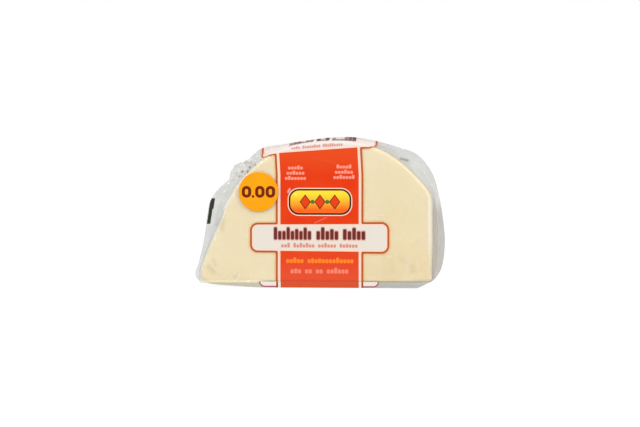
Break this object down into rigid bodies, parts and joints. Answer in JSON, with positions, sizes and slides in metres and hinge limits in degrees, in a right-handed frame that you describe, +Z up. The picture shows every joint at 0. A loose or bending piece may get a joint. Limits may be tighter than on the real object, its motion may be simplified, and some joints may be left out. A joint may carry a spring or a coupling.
{
  "type": "wrapped half-moon cheese piece",
  "caption": "Half-moon piece of pale semi-hard cheese in a clear shrunken film pack with a red printed band and a round orange price sticker, standing on its flat side.",
  "frame": {"origin": "middle of the base, on the surface that the pack stands on", "axes": "+Z up, the half-moon face with the sticker looks towards -Y, the flat side runs along X"},
  "size_m": [0.1272, 0.0244, 0.0759],
  "materials": {
    "cheese": "pale cream semi-hard cheese, smooth cut faces, slightly waxy",
    "film": "thin clear shrunken film, glossy, with creases and a red and white print",
    "sticker": "orange coated paper, satin, with brown digits"
  },
  "bodies": {
    "root": {"cheese_pack": "cheese", "price_sticker": "sticker"}
  },
  "joints": []
}
